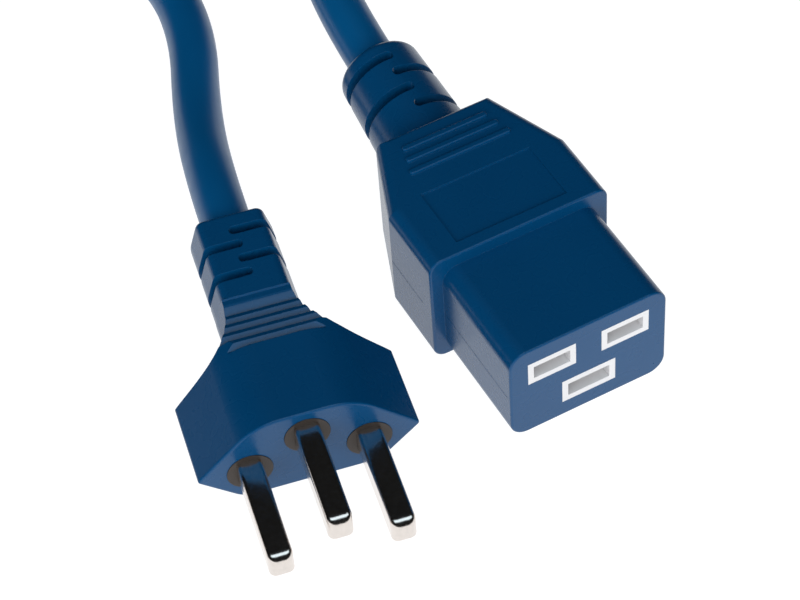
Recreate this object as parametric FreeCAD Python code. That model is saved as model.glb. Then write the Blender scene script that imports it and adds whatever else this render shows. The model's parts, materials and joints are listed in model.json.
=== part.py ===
import FreeCAD, Part
import math
import os

# Moulded power lead: a 16 A cable-mounted connector with three flat contact
# openings, 1.5 m of round three-core cable, and the moulded three-pin plug on
# the far end.  Millimetres, +Z up.  The connector lies on
# z = 0 with its mating face towards -Y and its cable leaving towards +Y.

os.makedirs("parts", exist_ok=True)
V = FreeCAD.Vector

# ---------------------------------------------------------------- dimensions
# connector, mating part
NOSE_W = 27.8            # width of the mating part
NOSE_H = 19.2            # height of the mating part
NOSE_Z = 10.5            # height of its centre above the resting surface
NOSE_L = 20.7            # length ahead of the grip body
NOSE_R = 3.0             # corner radius seen from the front
POLE_X = 6.5             # line and neutral openings lie this far either side
POLE_Z = 14.55           # height of the line and neutral openings
EARTH_Z = 6.55           # height of the earth opening, 8 mm lower
LN_TUBE = (8.45, 4.7)    # outside of the insulating tube round a line opening
E_TUBE = (9.55, 4.9)     # outside of the earth tube
LN_OPEN = (6.4, 2.6)     # clear opening, line and neutral
E_OPEN = (7.4, 2.7)      # clear opening, earth
# connector, grip body
BODY_W = 32.1
BODY_H = 22.4
BODY_L = 13.35           # parallel length
SHOULDER_L = 14.15       # length of the tapered shoulders
REAR_W = 21.4
BODY_R = 2.2             # long edges
PANEL = (19.8, 11.6)     # recessed rectangular label field, left bare
PANEL_D = 0.3
# connector, strain relief
RELIEF_D1 = 16.3
RELIEF_D2 = 14.25
RELIEF_END = 71.5        # distance of its end from the mating face, on its axis
RELIEF_AXIS = (V(0.47, 46.0, 11.06), V(0.0436, 1.0, 0.08))   # flexed a little
CENTRE_Y = 36.0          # half the connector's length: puts the origin mid-way

# cable
CORD_D = 8.4
CORE_D = 3.0
WIRE_D = 1.6
COIL_C = (-9.0, 195.3)   # centre of the stored coil, from the mating face
COIL_R = 42.0            # middle of its turns
COIL_PITCH = 8.5

# plug
PLUG_W = 35.65           # across the two side ridges
PLUG_TOP = 10.05         # above the line-neutral axis
PLUG_BOT = -6.1          # below it
PLUG_RIDGE = 0.3
PIN_X = 9.5              # line and neutral pins lie this far either side
PIN_EZ = 5.0             # earth pin above the line-neutral axis
PIN_W, PIN_H, PIN_L = 4.0, 5.0, 19.0
BOSS_D = 7.3
PLUG_RELIEF_END = 45.3
PLUG_TAIL_X = -0.4       # the flexed tail sits a little to one side
PLUG_TAIL_Z = 2.0
GROOVE_Y = 15.85         # first grip groove, from the plug's face
GROOVE_PITCH = 2.177
NECK_END = 27.75
PLUG_AT = V(-43.73, 9.8, -PLUG_BOT)
PLUG_TURN = -11.49

SHIFT = V(0, -CENTRE_Y, 0)


# ------------------------------------------------------------------- helpers
def box(x0, x1, y0, y1, z0, z1):
    return Part.makeBox(x1 - x0, y1 - y0, z1 - z0, V(x0, y0, z0))


def cyl(r, p, q):
    d = q.sub(p)
    return Part.makeCylinder(r, d.Length, p, d)


def ring_wire(points, radii, y):
    """Closed wire in the plane y, straight edges joined by corner arcs."""
    n = len(points)
    cuts = []
    for i in range(n):
        a, b, c = (V(points[k % n][0], y, points[k % n][1]) for k in (i - 1, i, i + 1))
        u, v = a.sub(b).normalize(), c.sub(b).normalize()
        half = u.getAngle(v) / 2
        t = radii[i] / math.tan(half)
        w = u.add(v).normalize()
        mid = b.add(w.multiply(radii[i] / math.sin(half) - radii[i]))
        cuts.append((b.add(V(u).multiply(t)), mid, b.add(V(v).multiply(t))))
    edges = []
    for i in range(n):
        p, m, q = cuts[i]
        edges.append(Part.Arc(p, m, q).toShape())
        edges.append(Part.LineSegment(q, cuts[(i + 1) % n][0]).toShape())
    return Part.Wire(edges)


def bar(w, h, r, xc, zc, y0, y1):
    """Rounded rectangular bar along y."""
    pts = [(xc - w / 2, zc - h / 2), (xc + w / 2, zc - h / 2),
           (xc + w / 2, zc + h / 2), (xc - w / 2, zc + h / 2)]
    return Part.Face(ring_wire(pts, [r] * 4, y0)).extrude(V(0, y1 - y0, 0))


def fillet(shape, r, pick):
    edges = [e for e in shape.Edges if pick(e)]
    return shape.makeFillet(r, edges)


def route(points):
    """Straight runs joined by tangent arcs; returns the wire and its radii."""
    pts = [V(*p) if not isinstance(p, FreeCAD.Vector) else p for p in points]
    edges, radii, at = [], [], pts[0]
    for i in range(1, len(pts) - 1):
        a, b, c = pts[i - 1], pts[i], pts[i + 1]
        u, v = a.sub(b), c.sub(b)
        short = min(u.Length, v.Length)
        u.normalize()
        v.normalize()
        half = (math.pi - u.getAngle(v)) / 2
        r = 0.45 * short / math.tan(half)
        t = 0.45 * short
        p, q = b.add(V(u).multiply(t)), b.add(V(v).multiply(t))
        w = u.add(v).normalize()
        mid = b.add(w.multiply(r / math.cos(half) - r))
        edges.append(Part.LineSegment(at, p).toShape())
        edges.append(Part.Arc(p, mid, q).toShape())
        radii.append(r)
        at = q
    edges.append(Part.LineSegment(at, pts[-1]).toShape())
    return Part.Wire(edges), radii


def pipe(points, d):
    wire, radii = route(points)
    p, q = wire.Vertexes[0].Point, wire.Vertexes[1].Point
    start = V(*points[0]) if not isinstance(points[0], FreeCAD.Vector) else points[0]
    nxt = V(*points[1]) if not isinstance(points[1], FreeCAD.Vector) else points[1]
    circle = Part.Wire([Part.makeCircle(d / 2, start, nxt.sub(start))])
    solid = wire.makePipeShell([circle], True, True)
    if solid.ShapeType != "Solid":
        solid = Part.Solid(solid)
    return solid, wire.Length, radii


def one(shape):
    s = shape.removeSplitter()
    return s.Solids[0] if len(s.Solids) == 1 else s


out = {}

# ================================================================ connector
# cable end inside the strain relief, and the axis of the relief
A_P, A_D = RELIEF_AXIS
A_U = V(A_D).normalize()


def on_axis(y):
    return A_P.add(V(A_U).multiply((y - A_P.y) / A_U.y))


P_IN = on_axis(46.0)
P_OUT = on_axis(RELIEF_END)

nose = bar(NOSE_W, NOSE_H, NOSE_R, 0, NOSE_Z, 0, NOSE_L + 4)
nose = fillet(nose, 0.35, lambda e: abs(e.BoundBox.YMax) < 1e-6)

y1, y2, y3 = NOSE_L, NOSE_L + BODY_L, NOSE_L + BODY_L + SHOULDER_L
# seen from above: parallel sides, then shoulders that run in to the strain relief
side = BODY_W / 2 + 0.06
back = 0.06 * SHOULDER_L / (BODY_W / 2 - REAR_W / 2)
plan = Part.Face(Part.makePolygon([
    V(-side, y1 - 1, -1), V(side, y1 - 1, -1), V(side, y2 - back, -1),
    V(REAR_W / 2 + 0.06, y3 + 0.06, -1), V(-REAR_W / 2 - 0.06, y3 + 0.06, -1),
    V(-side, y2 - back, -1), V(-side, y1 - 1, -1)])).extrude(V(0, 0, BODY_H + 2))


def upright(e):
    b = e.BoundBox
    return b.XLength < 1e-6 and b.YLength < 1e-6


plan = fillet(plan, 1.8, lambda e: upright(e) and abs(e.BoundBox.YMin - (y2 - back)) < 1e-6)
plan = fillet(plan, 1.2, lambda e: upright(e) and abs(e.BoundBox.YMin - y3 - 0.06) < 1e-6)


def slab(px, py, angle, r):
    """Block whose outer side passes through (px, py), with rounded long edges."""
    s = Part.Face(ring_wire([(-70, 0), (0, 0), (0, BODY_H), (-70, BODY_H)], [1, r, r, 1], 0))
    s = s.extrude(V(0, 160, 0))
    s.translate(V(0, -80, 0))
    s.rotate(V(0, 0, 0), V(0, 0, 1), angle)
    s.translate(V(px, py, 0))
    return s


slope = math.degrees(math.atan2((BODY_W - REAR_W) / 2, SHOULDER_L))
grip = bar(BODY_W, BODY_H, BODY_R, 0, BODY_H / 2, y1, y3 + 1)
grip = fillet(grip, 0.4, lambda e: abs(e.BoundBox.YMin - y1) < 1e-6 and e.BoundBox.YLength < 1e-6)
grip = grip.common(plan)
grip = grip.common(slab(BODY_W / 2, y2, slope, BODY_R + 0.03))
grip = grip.common(slab(-BODY_W / 2, y2, 180 - slope, BODY_R + 0.03))
grip = grip.common(slab(0, y3, 90, 1.0))

# bare label field, sunk into the top
grip = grip.cut(box(-PANEL[0] / 2, PANEL[0] / 2, 23.0, 23.0 + PANEL[1],
                    BODY_H - PANEL_D, BODY_H + 1))
# three raised grip bars, top and bottom alike on the top only
bars = []
for yb, half in ((39.45, 9.15), (42.05, 8.4), (44.5, 7.7)):
    b = bar(2 * half, 1.0, 0.45, 0, 0, 0, 1.1)
    b = Part.makeBox(2 * half, 1.15, 0.9, V(-half, yb - 0.575, BODY_H - 0.45))
    b = fillet(b, 0.5, lambda e: upright(e))
    b = fillet(b, 0.28, lambda e: abs(e.BoundBox.ZMin - (BODY_H + 0.45)) < 1e-6)
    bars.append(b)

relief = Part.makeCone(RELIEF_D1 / 2 + 0.35, RELIEF_D2 / 2, (P_OUT.sub(on_axis(42.0))).Length,
                       on_axis(42.0), A_U)
relief = fillet(relief, 1.6, lambda e: e.BoundBox.YMin > RELIEF_END - 1.5 and e.Length < 47
                and abs(e.BoundBox.ZLength - RELIEF_D2) < 0.2)

# alternating half-round slots, open to the cable
e_x = A_U.cross(V(0, 0, 1)).normalize()
e_z = e_x.cross(A_U).normalize()


def half_slot(dist, side, width, reach, overlap):
    """Slot square to the relief's axis over one half of it."""
    c = on_axis(47.7).add(V(A_U).multiply(dist))
    m = FreeCAD.Matrix(e_x.x, A_U.x, e_z.x, c.x, e_x.y, A_U.y, e_z.y, c.y,
                       e_x.z, A_U.z, e_z.z, c.z, 0, 0, 0, 1)
    x0, x1 = (-reach, overlap) if side < 0 else (-overlap, reach)
    s = box(x0, x1, -width / 2, width / 2, -reach, reach)
    s = fillet(s, 0.8, lambda e: abs(e.BoundBox.XMin - (overlap if side < 0 else -overlap)) < 1e-6
               and e.BoundBox.XLength < 1e-6 and e.BoundBox.ZLength > 1)
    return s.transformGeometry(m)


slots = [half_slot(d, s, 1.8, 9.5, 0.7 if s > 0 else 1.1) for d, s in
         ((8.1, 1), (12.05, -1), (16.1, 1), (19.95, -1))]
cable_in = cyl(CORD_D / 2, P_IN, P_OUT)
sleeve = cyl(CORD_D / 2, on_axis(40), on_axis(80))
slots = [s.cut(sleeve) for s in slots]

shell = nose.fuse(grip).fuse(relief)
for b in bars:
    shell = shell.fuse(b)
for s in slots:
    shell = shell.cut(s)

# thin mould parting groove along the sides of the grip body and the nose
gz = BODY_H / 2 - 0.3
groove = box(-BODY_W / 2 - 1, -BODY_W / 2 + 0.12, y1 + 3, y2, gz - 0.06, gz + 0.06)
shell = shell.cut(groove).cut(groove.mirror(V(0, 0, 0), V(1, 0, 0)))
groove = box(-NOSE_W / 2 - 1, -NOSE_W / 2 + 0.1, 1.0, y1, gz - 0.86, gz - 0.76)
shell = shell.cut(groove).cut(groove.mirror(V(0, 0, 0), V(1, 0, 0)))

# white contact carrier: three tubes that reach the mating face, and a block
POLES = {"line": (-POLE_X, POLE_Z, LN_TUBE, LN_OPEN),
         "neutral": (POLE_X, POLE_Z, LN_TUBE, LN_OPEN),
         "earth": (0.0, EARTH_Z, E_TUBE, E_OPEN)}
Y_T, Y_B, Y_C = 20.0, 26.0, 28.6     # tube end, block end, cover end
env = box(-12.2, 12.2, Y_T, Y_B, 3.0, 18.2)
env = fillet(env, 1.5, lambda e: e.BoundBox.YLength > 1 and e.BoundBox.XLength < 1e-6)
cover_env = bar(24.4, 15.2, 1.5, 0, 10.6, Y_B, Y_C)
for x, z, tube, opening in POLES.values():
    env = env.fuse(box(x - tube[0] / 2, x + tube[0] / 2, 0, Y_T + 1,
                       z - tube[1] / 2, z + tube[1] / 2))
env = one(env)
carrier, cover = env.copy(), cover_env.copy()
for x, z, tube, (ow, oh) in POLES.values():
    mouth = box(x - ow / 2, x + ow / 2, -1, 7, z - oh / 2, z + oh / 2)
    mouth = mouth.fuse(box(x - ow / 2 - 0.5, x + ow / 2 + 0.5, 7, Y_T,
                           z - oh / 2 - 0.5, z + oh / 2 + 0.5))
    carrier = carrier.cut(mouth).cut(cyl(1.75, V(x, Y_T - 1, z), V(x, Y_B + 1, z)))
    cover = cover.cut(cyl(CORE_D / 2, V(x, Y_B - 1, z), V(x, Y_C + 1, z)))
out["contact_carrier"] = one(carrier)
out["carrier_rear_cover"] = one(cover)

# folded brass contacts: a flat spring box, a neck and a crimp barrel
CORE_AT = {"line": V(-1.62, 0, 0.94), "neutral": V(1.62, 0, 0.94), "earth": V(0, 0, -1.88)}
inner_cut = [env, cover_env]
for name, (x, z, tube, (ow, oh)) in POLES.items():
    w, h = ow + 0.9, oh + 0.9
    c = box(x - w / 2, x + w / 2, 7.4, 17.5, z - h / 2, z + h / 2)
    c = c.cut(box(x - w / 2 + 0.45, x + w / 2 - 0.45, 7, 16.9, z - h / 2 + 0.45, z + h / 2 - 0.45))
    c = c.cut(box(x - 0.4, x + 0.4, 7, 15.5, z, z + h))
    c = c.fuse(box(x - 1.2, x + 1.2, 17.3, 20.2, z - 0.5, z + 0.5))
    c = c.fuse(cyl(1.7, V(x, 19.9, z), V(x, Y_B, z)).cut(
        cyl(WIRE_D / 2, V(x, 21.0, z), V(x, Y_B + 1, z))))
    out[name + "_contact"] = one(c)
    # core: leaves the cable along the cable's axis, spreads to its contact
    end = P_IN.add(V(e_x).multiply(CORE_AT[name].x)).add(V(e_z).multiply(CORE_AT[name].z))
    back = end.sub(V(A_U).multiply(5.0))
    pts = [V(x, 21.0, z), V(x, 33.0, z), back, end]
    wire, _, _ = pipe(pts, WIRE_D)
    pts_i = [V(x, Y_B, z), V(x, 33.0, z), back, end]
    full, _, _ = pipe(pts_i, CORE_D)
    wire_i, _, _ = pipe([V(x, Y_B - 0.001, z)] + pts_i[1:], WIRE_D)
    long_w, short_i = pipe(pts, WIRE_D)[0], full
    out[name + "_conductor"] = long_w
    out[name + "_insulation"] = one(full.cut(long_w))
    inner_cut.append(full)
out["cable_in_connector"] = cable_in

for s in inner_cut + [cable_in]:
    shell = shell.cut(s)
out["connector_overmould"] = one(shell)

# ===================================================================== plug
plug = {}
HW = PLUG_W / 2
# six-sided prism, wide corner arcs on top
hexagon = [(-11.0, PLUG_BOT), (11.0, PLUG_BOT), (HW, PLUG_RIDGE), (7.9, PLUG_TOP),
           (-7.9, PLUG_TOP), (-HW, PLUG_RIDGE)]
body = Part.Face(ring_wire(hexagon, [4.3, 4.3, 0.5, 10.2, 10.2, 0.5], 0)).extrude(V(0, 26.0, 0))
body = fillet(body, 0.4, lambda e: abs(e.BoundBox.YMax) < 1e-6)
# seen from above its sides sweep in to the neck in a hollow curve, with upright walls
SWEEP = [(17.85, 14.85), (16.8, 15.12), (15.2, 15.42), (13.6, 15.75), (12.1, 16.15), (10.7, 16.65),
         (9.5, 17.35), (8.45, 18.3), (7.55, 19.6), (6.95, 21.0), (6.4, 22.6), (5.9, 24.6),
         (5.45, 26.6), (5.15, 28.6)]


def swept(side):
    c = Part.BSplineCurve()
    c.interpolate([V(side * p - 0.3 * min(1.0, max(0.0, (y - 15) / 4)), y, -12) for p, y in SWEEP])
    return c.toShape()


rs, ls = swept(1), swept(-1)
ra, rb = rs.Vertexes[0].Point, rs.Vertexes[-1].Point
la, lb = ls.Vertexes[0].Point, ls.Vertexes[-1].Point
outline = Part.Wire(Part.__sortEdges__([
    rs, Part.LineSegment(rb, lb).toShape(), ls,
    Part.LineSegment(la, V(-19, la.y, -12)).toShape(),
    Part.LineSegment(V(-19, la.y, -12), V(-19, -2, -12)).toShape(),
    Part.LineSegment(V(-19, -2, -12), V(19, -2, -12)).toShape(),
    Part.LineSegment(V(19, -2, -12), V(19, ra.y, -12)).toShape(),
    Part.LineSegment(V(19, ra.y, -12), ra).toShape()]))
body = body.common(Part.Face(outline).extrude(V(0, 0, 30)))
# tail: flat-topped strain relief with bulging sides
tail_pts = [(-5.0, -3.9), (5.0, -3.9), (7.05, 2.0), (5.4, 8.05), (-5.4, 8.05), (-7.3, 2.0)]
tail = Part.Face(ring_wire(tail_pts, [1.8, 1.8, 5.0, 1.5, 1.5, 5.0], 17.0)).extrude(
    V(0, PLUG_RELIEF_END - 17.0, 0))
tail = fillet(tail, 0.9, lambda e: abs(e.BoundBox.YMin - PLUG_RELIEF_END) < 1e-6)
# between the tail and the hull its upper edges are left sharp
neck_pts = [(-5.04, -3.94), (5.04, -3.94), (7.1, 2.0), (5.5, 8.05), (-5.5, 8.05), (-7.35, 2.0)]
neck = Part.Face(ring_wire(neck_pts, [1.8, 1.8, 5.0, 0.4, 0.4, 5.0], 17.5)).extrude(
    V(0, NECK_END - 17.5, 0))
for s in (tail, neck):
    s.translate(V(PLUG_TAIL_X, 0, 0))
moulding = body.fuse(tail).fuse(neck)
# the top and underside fall towards the neck in a flight of grip grooves


def falling(z0, fall, deep, last, sign):
    def z(y):
        return z0 - sign * fall * (y - GROOVE_Y)
    pts = []
    for k in range(5):
        y = GROOVE_Y + GROOVE_PITCH * k
        d = deep if k < 4 else last
        if k:
            pts.append((y, z(y)))
        else:
            pts.append((y, z0 + sign * 0.2))
        pts += [(y, z(y) - sign * d), (y + 0.3, z(y + 0.3) - sign * (d - 0.02)),
                (y + 1.43, z(y + 1.43))]
    return pts[:-1]


top = falling(PLUG_TOP, 0.29, 0.85, 0.5, 1)
top += [(25.95, 7.56), (26.25, 7.69), (26.6, 7.78), (27.5, 7.8), (27.7, 8.06), (27.7, 16),
        (GROOVE_Y, 16)]
low = falling(PLUG_BOT, 0.17, 0.5, 0.5, -1)
low += [(25.6, -4.35), (26.1, -3.98), (26.1, -16), (GROOVE_Y, -16)]
for pts in (top, low):
    pts = [V(-30, y, z) for y, z in pts]
    moulding = moulding.cut(Part.Face(Part.makePolygon(pts + [pts[0]])).extrude(V(60, 0, 0)))
# alternating slots in the tail, open to the cable
core = cyl(CORD_D / 2, V(PLUG_TAIL_X, 20, PLUG_TAIL_Z), V(PLUG_TAIL_X, 50, PLUG_TAIL_Z))
for k, y in enumerate((41.35, 38.35, 35.15, 32.15)):
    x0, x1 = (-1.2, 9.0) if k % 2 == 0 else (-9.0, 0.3)
    s = box(x0, x1, y - 0.87, y + 0.87, -9, 12)
    s = fillet(s, 0.8, lambda e: e.BoundBox.ZLength > 1 and e.BoundBox.XLength < 1e-6
               and abs(e.BoundBox.XMin - (x0 if k % 2 == 0 else x1)) < 1e-6)
    moulding = moulding.cut(s.cut(core))

# brown pin bridge: a plate with three round bosses that show in the face
bridge = bar(25.2, 7.2, 1.5, 0, -0.2, 5.0, 9.0).fuse(bar(9.4, 7.6, 1.5, 0, 4.4, 5.0, 9.0))
PINS = {"line": (PIN_X, 0.0), "neutral": (-PIN_X, 0.0), "earth": (0.0, PIN_EZ)}
for x, z in PINS.values():
    bridge = bridge.fuse(cyl(BOSS_D / 2, V(x, -0.12, z), V(x, 6.0, z)))
bridge_env = one(bridge)
bridge = bridge_env.copy()
IN_CAB = V(PLUG_TAIL_X, 25.5, PLUG_TAIL_Z)
cut2 = [bridge_env]
for name, (x, z) in PINS.items():
    pin = bar(PIN_W, PIN_H, 0.7, x, z, -PIN_L, 9.0)
    pin = fillet(pin, 1.5, lambda e: abs(e.BoundBox.YMax + PIN_L) < 1e-6)
    bridge = bridge.cut(bar(PIN_W, PIN_H, 0.7, x, z, -2, 9.0))
    barrel = cyl(1.9, V(x, 8.9, z), V(x, 12.0, z))
    bore = cyl(WIRE_D / 2, V(x, 10.0, z), V(x, 13, z))
    plug[name + "_pin"] = one(pin.fuse(barrel).cut(bore))
    cut2.append(barrel)
    if name == "earth":
        end = IN_CAB.add(V(0, 0, 1.88))
    else:
        end = IN_CAB.add(V(math.copysign(1.62, x), 0, -0.94))
    pts = [V(x, 10.0, z), V(x, 13.9, z), V(end.x, 20.8, end.z), end]
    wire, _, _ = pipe(pts, WIRE_D)
    full, _, _ = pipe([V(x, 12.0, z)] + pts[1:], CORE_D)
    plug["plug_" + name + "_conductor"] = wire
    plug["plug_" + name + "_insulation"] = one(full.cut(wire))
    cut2.append(full)
plug["pin_bridge"] = one(bridge)
plug["cable_in_plug"] = cyl(CORD_D / 2, IN_CAB, V(PLUG_TAIL_X, PLUG_RELIEF_END, PLUG_TAIL_Z))
for s in cut2 + [plug["cable_in_plug"]]:
    moulding = moulding.cut(s)
plug["plug_overmould"] = one(moulding)
for name, s in plug.items():
    s = s.copy()
    s.rotate(V(0, 0, 0), V(0, 0, 1), PLUG_TURN)
    s.translate(PLUG_AT)
    out[name] = s

# ===================================================================== cord
# stretch from the connector up to the top outer turn of the coil
R_O, R_I = COIL_R + COIL_PITCH / 2, COIL_R - COIL_PITCH / 2
ROUTE_A = [P_OUT, P_OUT.add(V(A_U).multiply(19.5)), V(9.6, 111.3, 13.4), V(18.6, 131.2, 16.0),
           V(25.7, 151.0, 20.2), V(32.26, 172.14, 21.1)]
# stretch from the plug's tail, on the surface, up to the bottom outer turn
turn = math.radians(PLUG_TURN)
B0 = V(PLUG_TAIL_X, PLUG_RELIEF_END, PLUG_TAIL_Z)
B0 = V(B0.x * math.cos(turn) - B0.y * math.sin(turn),
       B0.x * math.sin(turn) + B0.y * math.cos(turn), B0.z).add(PLUG_AT)
B_DIR = V(-math.sin(turn), math.cos(turn), 0)
ROUTE_B = [B0, B0.add(V(B_DIR).multiply(12.0)), V(-26.9, 85.4, 4.2), V(-17.6, 106.4, 4.2),
           V(-16.6, 125.6, 4.2), V(-23.4, 142.8, 4.2), V(-35.9, 156.33, 4.2)]
made = {}
for name, pts in (("cord_connector_side", ROUTE_A), ("cord_plug_side", ROUTE_B)):
    solid, length, radii = pipe(pts, CORD_D)
    made[name] = solid
    print(name, "length %.1f" % length, "radii", [round(r, 1) for r in radii],
          "runs", [round(pts[i].sub(pts[i + 1]).Length, 1) for i in range(len(pts) - 1)],
          "volume ratio %.4f" % (solid.Volume / (math.pi * CORD_D ** 2 / 4 * length)))
    print("   points", [(round(p.x, 2), round(p.y - CENTRE_Y, 2), round(p.z, 2)) for p in pts])
ring = Part.makeCylinder(R_O + CORD_D / 2 - 0.15, 3 * CORD_D - 0.2, V(COIL_C[0], COIL_C[1], 0.1))
ring = ring.cut(Part.makeCylinder(R_I - CORD_D / 2, 3 * CORD_D + 2, V(COIL_C[0], COIL_C[1], -1)))
ring = fillet(ring, 3.0, lambda e: e.Length > 50 and e.BoundBox.ZLength < 1e-6)
for s in made.values():
    ring = ring.cut(s)
made["cord_coil"] = one(ring)
out.update(made)

# =================================================================== output
con = [n for n in out if n in ("connector_overmould", "contact_carrier", "carrier_rear_cover",
                               "cable_in_connector") or n.startswith(("line_c", "neutral_c", "earth_c",
                               "line_i", "neutral_i", "earth_i"))]
for name, s in out.items():
    s = s.copy()
    s.translate(SHIFT)
    out[name] = s
    s.exportStep("parts/" + name + ".step")
    print("%-26s %-9s solids %d valid %s vol %.1f" % (name, s.ShapeType, len(s.Solids), s.isValid(), s.Volume))
bb = out[con[0]].BoundBox
for n in con:
    bb.add(out[n].BoundBox)
print("connector box", bb)
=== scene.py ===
import bpy, json, math
from mathutils import Matrix, Vector


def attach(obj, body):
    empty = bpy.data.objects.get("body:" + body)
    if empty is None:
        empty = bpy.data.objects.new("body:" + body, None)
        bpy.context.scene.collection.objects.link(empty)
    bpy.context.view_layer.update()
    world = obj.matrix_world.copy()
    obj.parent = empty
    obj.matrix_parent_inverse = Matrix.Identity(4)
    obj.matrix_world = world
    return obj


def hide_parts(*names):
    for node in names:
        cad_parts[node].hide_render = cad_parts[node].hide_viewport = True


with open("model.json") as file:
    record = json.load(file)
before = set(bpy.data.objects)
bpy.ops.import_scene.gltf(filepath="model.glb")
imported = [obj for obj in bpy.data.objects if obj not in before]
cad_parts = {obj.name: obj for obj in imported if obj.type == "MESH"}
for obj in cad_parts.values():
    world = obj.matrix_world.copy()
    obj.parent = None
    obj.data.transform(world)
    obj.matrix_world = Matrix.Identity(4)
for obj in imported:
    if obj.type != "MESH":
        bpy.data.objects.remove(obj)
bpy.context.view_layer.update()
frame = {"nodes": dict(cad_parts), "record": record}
N = frame["nodes"]
scene = bpy.context.scene
scene.view_settings.view_transform = "Standard"


# ------------------------------------------------------------------ camera
def camera():
    right = Vector((0.8771872681, -0.4769592828, -0.0552479790))
    up = Vector((0.3952491128, 0.6519568318, 0.6470938327))
    fwd = Vector((0.2726181130, 0.5894591860, -0.7604059656))
    data = bpy.data.cameras.new("camera")
    data.sensor_width = 36.0
    data.lens = 119.225
    data.clip_start = 0.01
    cam = bpy.data.objects.new("camera", data)
    m = Matrix((right, up, -fwd)).transposed().to_4x4()
    m.translation = Vector((-0.13269879694, -0.25595898524, 0.32833390489))
    cam.matrix_world = m
    scene.collection.objects.link(cam)
    scene.camera = cam


camera()

# -------------------------------------------------------------------- cord
CORD_D = 0.0084
COIL_C = (-0.0090, 0.1593)
R_OUT, R_IN = 0.04625, 0.03775
LAYERS = (0.0210, 0.0126, 0.0042)
T_START, T_SWEEP = -17.1, 1679.9

ROUTE_A = [(0.00158, 0.0355, 0.0131), (0.00243, 0.05492, 0.01465), (0.0096, 0.0753, 0.0134),
           (0.0186, 0.0952, 0.0160), (0.0257, 0.1150, 0.0202), (0.03226, 0.13614, 0.0211)]
ROUTE_B = [(-0.0351, 0.01827, 0.0081), (-0.03271, 0.03003, 0.0081), (-0.0269, 0.0494, 0.0042),
           (-0.0176, 0.0704, 0.0042), (-0.0166, 0.0896, 0.0042), (-0.0234, 0.1068, 0.0042),
           (-0.0359, 0.12033, 0.0042)]


def step(t, start, length):
    """Even start and end, from 0 to 1 over length degrees of turn."""
    x = min(1.0, max(0.0, (t - start) / length))
    even = 2 * x * x if x < 0.5 else 1 - 2 * (1 - x) ** 2
    return 0.5 * (x * x * (3 - 2 * x) + even)


def coil():
    """Turns wound from the top outer one inwards and down to the bottom outer one."""
    n = 75
    d = T_SWEEP / n
    pts = []
    for k in range(n):
        t = (k + 0.5) * d
        drop1 = step(t, 308.3, 25.0)          # outer top to outer middle
        inward = step(t, 647.0, 32.6)         # outer middle to inner middle
        drop2 = step(t, 981.7, 49.4)          # inner middle to inner bottom
        outward = step(t, 1320.5, 58.1)       # inner bottom to outer bottom
        r = R_OUT + (R_IN - R_OUT) * (inward - outward)
        z = LAYERS[0] - (LAYERS[0] - LAYERS[1]) * drop1 - (LAYERS[1] - LAYERS[2]) * drop2
        r /= math.cos(math.radians(d / 2))
        a = math.radians(T_START + t)
        pts.append((COIL_C[0] + r * math.cos(a), COIL_C[1] + r * math.sin(a), z))
    return pts


def cord_curve():
    data = bpy.data.curves.new("cord", "CURVE")
    data.dimensions = "3D"
    data.bevel_depth = 1.0          # times each point's radius
    data.bevel_resolution = 7
    data.resolution_u = 10
    data.use_fill_caps = True
    pts = ROUTE_A + coil() + ROUTE_B[::-1]
    sp = data.splines.new("NURBS")
    sp.points.add(len(pts) - 1)
    for p, c in zip(sp.points, pts):
        p.co = (*c, 1.0)
        p.radius = CORD_D / 2
    sp.order_u = 3
    sp.use_endpoint_u = True
    sp.use_smooth = True
    ob = bpy.data.objects.new("cord", data)
    scene.collection.objects.link(ob)
    return ob


cord = cord_curve()
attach(cord, "root")
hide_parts("cord_connector_side", "cord_coil", "cord_plug_side")


# --------------------------------------------------------------- materials
def nodes_of(name):
    m = bpy.data.materials.new(name)
    m.use_nodes = True
    nt = m.node_tree
    b = next(n for n in nt.nodes if n.type == "BSDF_PRINCIPLED")
    return m, nt, b


def add(nt, kind, **settings):
    n = nt.nodes.new(kind)
    for k, v in settings.items():
        setattr(n, k, v)
    return n


def noise(nt, coord, scale, detail=3.0, rough=0.5):
    n = add(nt, "ShaderNodeTexNoise")
    n.inputs["Scale"].default_value = scale
    n.inputs["Detail"].default_value = detail
    n.inputs["Roughness"].default_value = rough
    nt.links.new(coord, n.inputs["Vector"])
    return n.outputs["Fac"]


def ramp(nt, fac, lo, hi, a=0.1, b=0.9):
    r = add(nt, "ShaderNodeValToRGB")
    r.color_ramp.elements[0].position = a
    r.color_ramp.elements[1].position = b
    r.color_ramp.elements[0].color = (*lo, 1)
    r.color_ramp.elements[1].color = (*hi, 1)
    nt.links.new(fac, r.inputs["Fac"])
    return r.outputs["Color"]


def span(nt, fac, lo, hi):
    r = add(nt, "ShaderNodeMapRange")
    r.inputs["From Min"].default_value = 0.1
    r.inputs["From Max"].default_value = 0.9
    r.inputs["To Min"].default_value = lo
    r.inputs["To Max"].default_value = hi
    nt.links.new(fac, r.inputs["Value"])
    return r.outputs["Result"]


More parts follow.
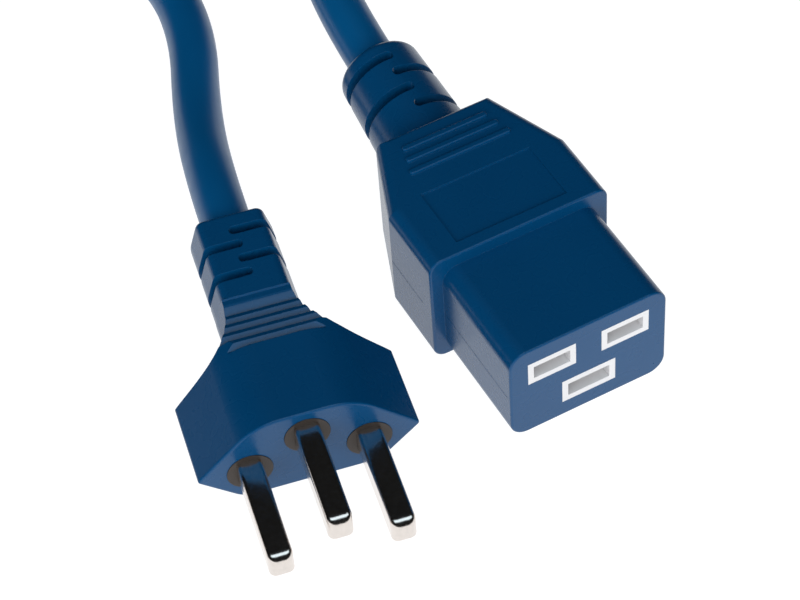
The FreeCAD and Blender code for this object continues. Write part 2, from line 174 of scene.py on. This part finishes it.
def plastic(name, lo, hi, rough=(0.36, 0.46), grain=2200.0, depth=0.000012, edge=0.00012,
            vary=70.0, eroded=0.0, ior=1.5):
    """Moulded plastic: slow colour drift, fine grain, and softened edges. Where eroded is set,
    upright sides carry the coarser spark-eroded texture of the mould."""
    m, nt, b = nodes_of(name)
    tc = add(nt, "ShaderNodeTexCoord")
    co = tc.outputs["Object"]
    nt.links.new(ramp(nt, noise(nt, co, vary, 1.0), lo, hi), b.inputs["Base Color"])
    nt.links.new(span(nt, noise(nt, co, vary * 5, 1.0), *rough), b.inputs["Roughness"])
    bump = add(nt, "ShaderNodeBump")
    bump.inputs["Strength"].default_value = 0.35
    bump.inputs["Distance"].default_value = depth
    nt.links.new(noise(nt, co, grain, 2.0), bump.inputs["Height"])
    last = bump
    if eroded:
        xyz = add(nt, "ShaderNodeSeparateXYZ")
        nt.links.new(tc.outputs["Normal"], xyz.inputs["Vector"])
        size = add(nt, "ShaderNodeMath", operation="ABSOLUTE")
        nt.links.new(xyz.outputs["X"], size.inputs[0])
        mask = add(nt, "ShaderNodeMapRange", interpolation_type="SMOOTHSTEP")
        mask.inputs["From Min"].default_value = 0.90
        mask.inputs["From Max"].default_value = 0.99
        nt.links.new(size.outputs[0], mask.inputs["Value"])
        coarse = add(nt, "ShaderNodeMath", operation="MULTIPLY")
        nt.links.new(noise(nt, co, 1500.0, 3.0, 0.6), coarse.inputs[0])
        nt.links.new(mask.outputs["Result"], coarse.inputs[1])
        rough_bump = add(nt, "ShaderNodeBump")
        rough_bump.inputs["Strength"].default_value = 0.6
        rough_bump.inputs["Distance"].default_value = eroded
        nt.links.new(coarse.outputs[0], rough_bump.inputs["Height"])
        nt.links.new(rough_bump.outputs["Normal"], bump.inputs["Normal"])
        last = rough_bump
    if edge:
        bev = add(nt, "ShaderNodeBevel", samples=6)
        bev.inputs["Radius"].default_value = edge
        nt.links.new(bev.outputs["Normal"], last.inputs["Normal"])
    nt.links.new(bump.outputs["Normal"], b.inputs["Normal"])
    b.inputs["IOR"].default_value = ior
    return m


def metal(name, lo, hi, rough=(0.12, 0.22), brushed=(1.0, 1.0, 1.0), grain=900.0, depth=0.000004,
          edge=0.0003):
    m, nt, b = nodes_of(name)
    co = add(nt, "ShaderNodeTexCoord").outputs["Object"]
    mp = add(nt, "ShaderNodeMapping")
    mp.inputs["Scale"].default_value = brushed
    nt.links.new(co, mp.inputs["Vector"])
    v = mp.outputs["Vector"]
    nt.links.new(ramp(nt, noise(nt, v, grain, 4.0), lo, hi), b.inputs["Base Color"])
    nt.links.new(span(nt, noise(nt, v, grain, 5.0), *rough), b.inputs["Roughness"])
    bump = add(nt, "ShaderNodeBump")
    bump.inputs["Strength"].default_value = 0.3
    bump.inputs["Distance"].default_value = depth
    nt.links.new(noise(nt, v, grain, 3.0), bump.inputs["Height"])
    if edge:
        bev = add(nt, "ShaderNodeBevel", samples=6)
        bev.inputs["Radius"].default_value = edge
        nt.links.new(bev.outputs["Normal"], bump.inputs["Normal"])
    nt.links.new(bump.outputs["Normal"], b.inputs["Normal"])
    b.inputs["Metallic"].default_value = 1.0
    return m


M = {
    "blue_pvc": plastic("blue_pvc", (0.0002, 0.047, 0.137), (0.0005, 0.053, 0.151),
                        rough=(0.26, 0.29), depth=0.000006, eroded=0.00006, ior=1.40),
    "cable_sheath": plastic("cable_sheath", (0.0003, 0.076, 0.214), (0.0008, 0.086, 0.234),
                            rough=(0.30, 0.40), edge=0.0, ior=1.40),
    "white_plastic": plastic("white_plastic", (0.60, 0.60, 0.615), (0.66, 0.66, 0.675),
                             rough=(0.3, 0.4), edge=0.0001),
    "brown_plastic": plastic("brown_plastic", (0.028, 0.021, 0.017), (0.040, 0.031, 0.026),
                             rough=(0.4, 0.5), ior=1.38),
    "contact_brass": metal("contact_brass", (0.68, 0.50, 0.22), (0.78, 0.60, 0.30)),
    "nickel_plate": metal("nickel_plate", (0.66, 0.61, 0.57), (0.76, 0.70, 0.66),
                          rough=(0.15, 0.25), grain=1800.0, depth=0.00003),
    "copper_wire": metal("copper_wire", (0.72, 0.36, 0.22), (0.80, 0.44, 0.30)),
    "brown_insulation": plastic("brown_insulation", (0.12, 0.05, 0.025), (0.15, 0.065, 0.03)),
    "light_blue_insulation": plastic("light_blue_insulation", (0.07, 0.25, 0.55),
                                     (0.09, 0.30, 0.62)),
    "green_yellow_insulation": plastic("green_yellow_insulation", (0.06, 0.32, 0.05),
                                       (0.75, 0.62, 0.04), vary=260.0),
}
SLOT = {s["node"]: s["material_slot"] for s in frame["record"]["subparts"]}
for name, ob in N.items():
    ob.data.materials.clear()
    ob.data.materials.append(M[SLOT[name]])
cord.data.materials.append(M["cable_sheath"])


# ------------------------------------------------------------------- stage
def floor():
    me = bpy.data.meshes.new("floor")
    s = 3.0
    me.from_pydata([(-s, -s, -0.0002), (s, -s, -0.0002), (s, s, -0.0002), (-s, s, -0.0002)], [],
                   [(0, 1, 2, 3)])
    ob = bpy.data.objects.new("floor", me)
    scene.collection.objects.link(ob)
    m, nt, b = nodes_of("floor_white")
    co = add(nt, "ShaderNodeTexCoord").outputs["Object"]
    nt.links.new(ramp(nt, noise(nt, co, 30.0), (0.24, 0.24, 0.24), (0.26, 0.26, 0.26)),
                 b.inputs["Base Color"])
    b.inputs["Roughness"].default_value = 0.6
    b.inputs["Emission Color"].default_value = (1, 1, 1, 1)
    b.inputs["Emission Strength"].default_value = 0.95
    me.materials.append(m)


floor()


def area(name, loc, target, size, power, colour=(1, 1, 1), glossy=True):
    d = bpy.data.lights.new(name, "AREA")
    d.shape = "RECTANGLE"
    d.size, d.size_y = size
    d.energy = power
    d.color = colour
    ob = bpy.data.objects.new(name, d)
    ob.visible_glossy = glossy
    ob.location = loc
    ob.rotation_euler = (Vector(target) - Vector(loc)).to_track_quat("-Z", "Y").to_euler()
    scene.collection.objects.link(ob)


area("key", (-0.215, -0.98, 0.50), (0, 0, 0), (1.5, 1.0), 12.5, glossy=False)
area("overhead", (-0.03, -0.15, 0.55), (-0.02, 0.0, 0.0), (0.5, 0.3), 0.80, (0.74, 0.90, 1.0))
area("rear_top", (-0.02, 0.05, 0.18), (-0.02, 0.02, 0.0), (0.16, 0.16), 0.03, glossy=False)
area("left", (-0.58, -0.25, 0.20), (0, 0, 0.01), (0.4, 0.4), 1.4, glossy=False)
world = bpy.data.worlds.new("world")
scene.world = world
world.use_nodes = True
bg = next(n for n in world.node_tree.nodes if n.type == "BACKGROUND")
bg.inputs["Color"].default_value = (1, 1, 1, 1)
bg.inputs["Strength"].default_value = 0.008
